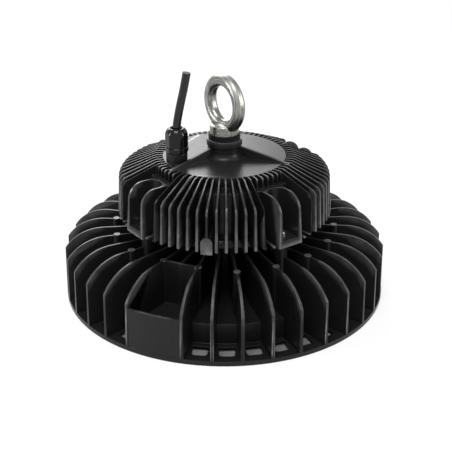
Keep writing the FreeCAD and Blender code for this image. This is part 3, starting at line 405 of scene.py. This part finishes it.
# %% [markdown]
# **Zinc and screw steel.** The lifting eye is plated with zinc, which is a soft grey metal with a
# faint green in it, much duller than the bright steel of the screws.

# %% Dull zinc and bright steel
zinc = finish_of("dull_zinc", (0.33, 0.335, 0.31), 0.40, grain=(0.8, 0.4), bump=0.25,
                 spread=0.10, metal=1.0, tone=0.10)
bright_steel = finish_of("bright_screw_steel", (0.66, 0.66, 0.66), 0.25, grain=(0.4, 0.6),
                         bump=0.2, spread=0.15, metal=1.0)
print("metals:", zinc.name, bright_steel.name)

# %% [markdown]
# The streaks of the eye change three things at once, as real brushing does: the colour gets
# darker in the grooves, the gloss changes, and the surface is cut a little. Each is put between
# the shader and what fed it before, so the drift and the grain of the zinc stay.

# %% Streaks on the zinc
EYE_TURN = math.radians(-53.5)     # the ring's plane, about the light's centre line
STREAK_RANGE = (0.38, 0.62)        # the part of the noise that becomes a streak


def add_streaks(material, turn, shade, gloss, relief):
    """Shade multiplies the colour in a streak; gloss and relief are added to what is there."""
    tree = material.node_tree
    shader = tree.nodes["Principled BSDF"]
    streaks = placed(tree, streak_group, {"Turn": turn})
    mask = ramp(tree, streaks, *STREAK_RANGE)

    old_colour = shader.inputs["Base Color"].links[0].from_socket
    darker = mixed(tree, mask, old_colour, (shade, shade, shade), blend="MULTIPLY")
    tree.links.new(darker, shader.inputs["Base Color"])

    old_gloss = shader.inputs["Roughness"].links[0].from_socket
    change = maths(tree, "MULTIPLY", mask, gloss)
    tree.links.new(maths(tree, "ADD", old_gloss, change), shader.inputs["Roughness"])

    height = shader.inputs["Normal"].links[0].from_node.inputs["Height"]
    old_height = height.links[0].from_socket
    cut = maths(tree, "MULTIPLY", streaks, relief)
    tree.links.new(maths(tree, "ADD", old_height, cut), height)


add_streaks(zinc, EYE_TURN, shade=0.45, gloss=-0.12, relief=2.0)
print("zinc nodes:", len(zinc.node_tree.nodes))

# %% [markdown]
# **Nylon, sheath and rubber.** All three are black, and gloss alone tells them apart: the moulded
# nylon of the gland is nearly a mirror, the cord's sheath has a soft shine, and rubber is dull.

# %% Black plastics and rubber
nylon = finish_of("glossy_black_nylon", (0.003, 0.003, 0.0033), 0.08, grain=(0.3, 0.3),
                  bump=0.06, spread=0.05, specular=0.24)
sheath = finish_of("black_cord_sheath", (0.004, 0.004, 0.0044), 0.12, grain=(0.5, 0.3),
                   bump=0.10, spread=0.10, specular=0.38)
rubber = finish_of("black_rubber", (0.006, 0.006, 0.006), 0.50, grain=(0.6, 0.8), bump=0.3,
                   specular=0.10)
print("blacks:", nylon.name, sheath.name, rubber.name)

# %% [markdown]
# **Parts inside.** The driver and the LED board are closed away, but someone may open the light,
# or look into it from below. Plain, well-known colours are enough there.

# %% Seals, boards and parts of the driver
silicone = finish_of("grey_silicone", (0.42, 0.42, 0.43), 0.55, grain=(0.6, 0.8), bump=0.3)
board = finish_of("green_board", (0.03, 0.16, 0.06), 0.35, grain=(0.4, 0.6), bump=0.2)
tape = finish_of("yellow_tape", (0.65, 0.48, 0.06), 0.45, grain=(0.5, 0.5), bump=0.2)
winding = finish_of("copper_winding", (0.40, 0.14, 0.04), 0.30, grain=(1.0, 0.5), bump=0.4)
sleeve = finish_of("capacitor_sleeve", (0.02, 0.02, 0.05), 0.25, grain=(0.3, 0.3), bump=0.1)
terminal = finish_of("green_terminal", (0.04, 0.30, 0.10), 0.40, grain=(0.4, 0.6), bump=0.2)
lead = finish_of("pale_lead", (0.60, 0.60, 0.60), 0.40, grain=(0.5, 0.5), bump=0.2)
white_board = finish_of("white_board", (0.80, 0.80, 0.78), 0.40, grain=(0.3, 0.5), bump=0.1)
phosphor = finish_of("led_phosphor", (0.85, 0.70, 0.16), 0.40, grain=(0.5, 0.5), bump=0.2)
print("made", len(bpy.data.materials), "materials")

# %% [markdown]
# **Glass.** The lens is a flat, clear pane. Glass has no drift in tone or gloss, so its shader
# needs no groups: it lets all light through, bends it, and is very smooth.

# %% Clear glass for the lens
glass = bpy.data.materials.new("clear_glass")
glass.use_nodes = True
pane = glass.node_tree.nodes["Principled BSDF"]
pane.inputs["Base Color"].default_value = (0.93, 0.96, 0.96, 1)
pane.inputs["Roughness"].default_value = 0.04
pane.inputs["Transmission Weight"].default_value = 1.0
pane.inputs["IOR"].default_value = 1.5
print("glass:", glass.name)

# %% [markdown]
# ## Dressing the solids
# The record of the part names a finish for each of its nodes, so one table from those names to
# materials dresses them all. Three nodes then get a coat of their own: the housing mirrors a trace
# less, because its broad deck faces the lamps, and the flat plates under the two castings have no
# painted edge highlight.

# %% Give every node of the solid model its finish
FINISHES = {
    "black_casting": powder_coat, "black_steel": powder_coat, "zinc_steel": zinc,
    "bright_screws": bright_steel, "gland_nylon": nylon, "cord_sheath": sheath,
    "black_rubber": rubber, "grey_silicone": silicone, "circuit_board": board,
    "transformer_tape": tape, "choke_winding": winding, "capacitor_sleeve": sleeve,
    "terminal_plastic": terminal, "lead_sheath": lead, "led_board_white": white_board,
    "led_phosphor": phosphor, "clear_lens": glass,
}


def paint(item, material):
    """Gives an item this one material."""
    item.data.materials.clear()
    item.data.materials.append(material)


for part in frame["record"]["subparts"]:
    paint(frame["nodes"][part["node"]], FINISHES[part["material_slot"]])
paint(frame["nodes"]["driver_housing"], housing_coat)
for name in ("lens_ring", "driver_base_plate"):
    paint(frame["nodes"][name], ring_coat)
paint(cord, sheath)

# %% [markdown]
# ## Rounded castings
# No cast edge is sharp: the mould rounds it and the coat rounds it more. A thin line of light
# runs along each fin because of that. A bevel modifier would do for a simple box, but where many
# fins meet it throws some corners far off. So the two castings are copied from the solids and
# worked on in the mesh itself, in four steps.
#
# First, a solid comes as thin triangles, and an edge between two of them in one plane isn't an
# edge of the casting. Corners that coincide are welded, and triangles in one plane are joined.


# %% Join flat triangles into clean faces
WELD = 0.002 * MM                  # corners this close are one corner
FLAT = math.radians(0.6)           # faces that turn by less than this are one face
SLIVER = 0.05 * MM                 # anything smaller is closed up


def clean_faces(mesh):
    """Welds the corners of a mesh and joins its flat triangles."""
    bmesh.ops.remove_doubles(mesh, verts=mesh.verts, dist=WELD)
    bmesh.ops.dissolve_limit(mesh, angle_limit=FLAT, verts=mesh.verts, edges=mesh.edges,
                             delimit={"NORMAL"})
    bmesh.ops.dissolve_degenerate(mesh, dist=SLIVER, edges=mesh.edges)
    mesh.normal_update()


# %% [markdown]
# Second, the real edges are rounded. A round post is made of narrow facets, and the gentle edges
# between those stay as they are. So an edge counts only where its two faces turn by more than 28
# degrees.


# %% Round the real edges
REAL_EDGE = math.radians(28)
ROUNDING_STEPS = 2


def round_edges(mesh, width):
    """Rounds each real edge and returns how many there are; width is in millimetres."""
    sharp = [edge for edge in mesh.edges
             if len(edge.link_faces) == 2 and edge.calc_face_angle(0) > REAL_EDGE]
    bmesh.ops.bevel(mesh, geom=sharp, offset=width * MM, offset_type="OFFSET",
                    segments=ROUNDING_STEPS, profile=0.5, affect="EDGES", clamp_overlap=False,
                    loop_slide=False)
    return len(sharp)


# %% [markdown]
# Third, rounding moves a corner by less than its own width, so one that is further off the
# solid's skin has gone astray. A search tree of the solid's faces finds the nearest place on the
# skin, and the corner goes back there.


# %% Put stray corners back
STRAY_SHARE = 0.6                  # of the rounding's width


def put_strays_back(mesh, skin, width):
    """Moves each stray corner onto the skin and returns how many there were."""
    strays = 0
    for vertex in mesh.verts:
        spot, _, _, away = skin.find_nearest(vertex.co)
        if away > STRAY_SHARE * width * MM:
            vertex.co = spot
            strays += 1
    return strays


# %% [markdown]
# Last, the mesh becomes a piece that stands for its solid. It is shaded smooth except across
# steep edges, and a weighted-normal modifier keeps the broad faces flat, so that only the
# rounding catches the light.


# %% A rounded copy of a node
CREASE = math.radians(50)          # steeper edges stay crisp in the shading


def rounded_copy(node_name, piece_name, width):
    """A piece with the node's shape and rounded edges; width is in millimetres."""
    source = frame["nodes"][node_name]
    mesh = bmesh.new()
    mesh.from_mesh(source.data)
    skin = BVHTree.FromBMesh(mesh)
    clean_faces(mesh)
    rounded = round_edges(mesh, width)
    strays = put_strays_back(mesh, skin, width)
    for face in mesh.faces:
        face.smooth = True
    data = bpy.data.meshes.new(piece_name)
    mesh.to_mesh(data)
    mesh.free()
    data.set_sharp_from_angle(angle=CREASE)
    data.materials.append(source.data.materials[0])
    piece = bpy.data.objects.new(piece_name, data)
    scene.collection.objects.link(piece)
    weighted = piece.modifiers.new("flat_faces_stay_flat", "WEIGHTED_NORMAL")
    weighted.mode = "FACE_AREA"
    weighted.keep_sharp = True
    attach(piece, "root")
    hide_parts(node_name)
    print(piece_name, rounded, "edges rounded,", strays, "stray corners put back")


# %% Round the two castings
rounded_copy("heat_sink", "finned_heat_sink", width=0.35)
rounded_copy("driver_housing", "ribbed_driver_housing", width=0.25)

# %% [markdown]
# ## Studio
# The light stands on a white floor that runs into a white backdrop. A floor is never quite white
# under its own lamps, and brighter lamps would bleach the light itself. So part of what the
# camera sees of the floor is plain white, and the rest is the lit floor, which keeps the soft
# shadow. Mirrored rays and rays through glass see the same, so that metal and glass show the
# studio that the camera shows.


# %% A mask for rays that see the background
def seen_directly(tree):
    """1 for the camera's rays, mirrored rays and rays through glass; 0 for diffuse light."""
    path = tree.nodes.new("ShaderNodeLightPath")
    mirrored = maths(tree, "ADD", path.outputs["Is Camera Ray"], path.outputs["Is Glossy Ray"])
    every = maths(tree, "ADD", mirrored, path.outputs["Is Transmission Ray"])
    return maths(tree, "MINIMUM", every, 1.0)


# %% A helper that shows a surface as plain white
LIT_REACH = 0.5                    # metres; past this, the lamps light the floor less


def show_white(tree, shader, white_share):
    """The camera sees white_share of the surface as plain white, and all of it far away."""
    glow = tree.nodes.new("ShaderNodeEmission")
    glow.inputs["Strength"].default_value = 1.0
    reach = tree.nodes.new("ShaderNodeVectorMath")
    reach.operation = "LENGTH"
    tree.links.new(place_in(tree), reach.inputs[0])
    far = ramp(tree, reach.outputs["Value"], LIT_REACH, 2 * LIT_REACH, white_share, 1.0)
    share = maths(tree, "MULTIPLY", seen_directly(tree), far)
    both = tree.nodes.new("ShaderNodeMixShader")
    tree.links.new(share, both.inputs["Fac"])
    tree.links.new(shader.outputs["BSDF"], both.inputs[1])
    tree.links.new(glow.outputs["Emission"], both.inputs[2])
    tree.links.new(both.outputs["Shader"], tree.nodes["Material Output"].inputs["Surface"])


# %% A helper that lays a flat sheet on the stage
SHEET_ROUGHNESS = 0.9
SHEET_MIRRORING = 0.1


def stage_sheet(name, corners, height, colour, white_share=0.0):
    """A flat stage piece of one colour, of which the camera may see a share as plain white."""
    mesh = bpy.data.meshes.new(name)
    mesh.from_pydata([(x, y, height) for x, y in corners], [], [tuple(range(len(corners)))])
    sheet = bpy.data.objects.new(name, mesh)
    scene.collection.objects.link(sheet)
    paint_of = bpy.data.materials.new(name + "_paint")
    paint_of.use_nodes = True
    tree = paint_of.node_tree
    shader = tree.nodes["Principled BSDF"]
    shader.inputs["Base Color"].default_value = (*colour, 1)
    shader.inputs["Roughness"].default_value = SHEET_ROUGHNESS
    shader.inputs["Specular IOR Level"].default_value = SHEET_MIRRORING
    if white_share:
        show_white(tree, shader, white_share)
    mesh.materials.append(paint_of)
    print(name, "has", len(corners), "corners")


# %% White floor
FLOOR_REACH = 6                    # metres each way
FLOOR_HEIGHT = -0.4 * MM           # just under the rim, so the two never flicker

floor_corners = [(-FLOOR_REACH, -FLOOR_REACH), (FLOOR_REACH, -FLOOR_REACH),
                 (FLOOR_REACH, FLOOR_REACH), (-FLOOR_REACH, FLOOR_REACH)]
stage_sheet("floor", floor_corners, FLOOR_HEIGHT, (0.92, 0.92, 0.92), white_share=0.75)

# %% [markdown]
# Air rises through the windows in the rim of a real light, and the floor under it, in the light's
# shade, shows dim through them. On this evenly lit white floor they would show bright white, so a
# round dark mat lies on the floor under the rim, a little smaller than the rim, where nothing else
# of it is seen. Its dark grey is painted shade.

# %% Painted shade: a dark mat under the rim
MAT_HEIGHT = -0.2 * MM             # between the floor and the rim
MAT_MARGIN = 4 * MM                # the rim hides the mat's own edge
MAT_STEP = 5                       # degrees from corner to corner

rim = max(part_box("heat_sink")[1].x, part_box("heat_sink")[1].y)
mat_edge = [((rim - MAT_MARGIN) * math.cos(math.radians(turn)),
             (rim - MAT_MARGIN) * math.sin(math.radians(turn)))
            for turn in range(0, 360, MAT_STEP)]
# The mat's dark grey is painted shade for the floor in the light's shadow.
stage_sheet("painted_shade_mat", mat_edge, MAT_HEIGHT, (0.24, 0.24, 0.24))

# %% [markdown]
# The world is the backdrop and a weak light from everywhere. It looks plain white to the camera,
# but lights the object with only a part of that, so that the black castings stay black.

# %% White world
SKY_LIGHT = 0.40                   # its strength as a light; the camera sees 1

world = bpy.data.worlds.new("studio")
scene.world = world
world.use_nodes = True
world_tree = world.node_tree
sky = world_tree.nodes["Background"]
sky.inputs["Color"].default_value = (1, 1, 1, 1)
lift = maths(world_tree, "MULTIPLY", seen_directly(world_tree), 1 - SKY_LIGHT)
world_tree.links.new(maths(world_tree, "ADD", lift, SKY_LIGHT), sky.inputs["Strength"])
print("the world lights with", SKY_LIGHT, "and looks white")

# %% [markdown]
# ## Lamps
# A black object is drawn by what it mirrors, so each lamp is a large soft panel with a job. The
# long one behind and above is mirrored by the deck and by every fin's crest. It stands left of
# the middle, so the deck is brighter on its left. A weaker one in front keeps the faces dark but
# readable, and a narrow one on each side draws the upright edges.


# %% A helper that makes a soft lamp
def soft_light(name, place, aim, width, height, power):
    """A rectangular lamp at place that points at aim; sizes are in metres, power in watts."""
    lamp = bpy.data.lights.new(name, "AREA")
    lamp.shape = "RECTANGLE"
    lamp.size = width
    lamp.size_y = height
    lamp.energy = power
    item = bpy.data.objects.new(name, lamp)
    item.location = place
    item.rotation_euler = (Vector(aim) - Vector(place)).to_track_quat("-Z", "Y").to_euler()
    item.visible_camera = False
    scene.collection.objects.link(item)


# %% Place the lamps
FOOT = (0, 0, 0)                   # of the light, in metres
MIDDLE = (0, 0, 0.08)

soft_light("back_light", (-0.63, 1.6, 1.1), aim=MIDDLE, width=1.6, height=1.1, power=33)
soft_light("top_light", (-0.1, -0.65, 1.7), aim=FOOT, width=0.9, height=0.9, power=22)
soft_light("left_light", (-1.6, -0.5, 0.6), aim=MIDDLE, width=0.25, height=1.0, power=13)
soft_light("right_light", (1.6, -0.5, 0.6), aim=MIDDLE, width=0.25, height=1.0, power=11)

# %% [markdown]
# ## Colours as they are written
# Blender's default view softens bright tones, as film does. The Standard view shows each colour
# as it was written, which is what a library of parts needs.

# %% Choose the view
scene.view_settings.view_transform = "Standard"
print("view:", scene.view_settings.view_transform)
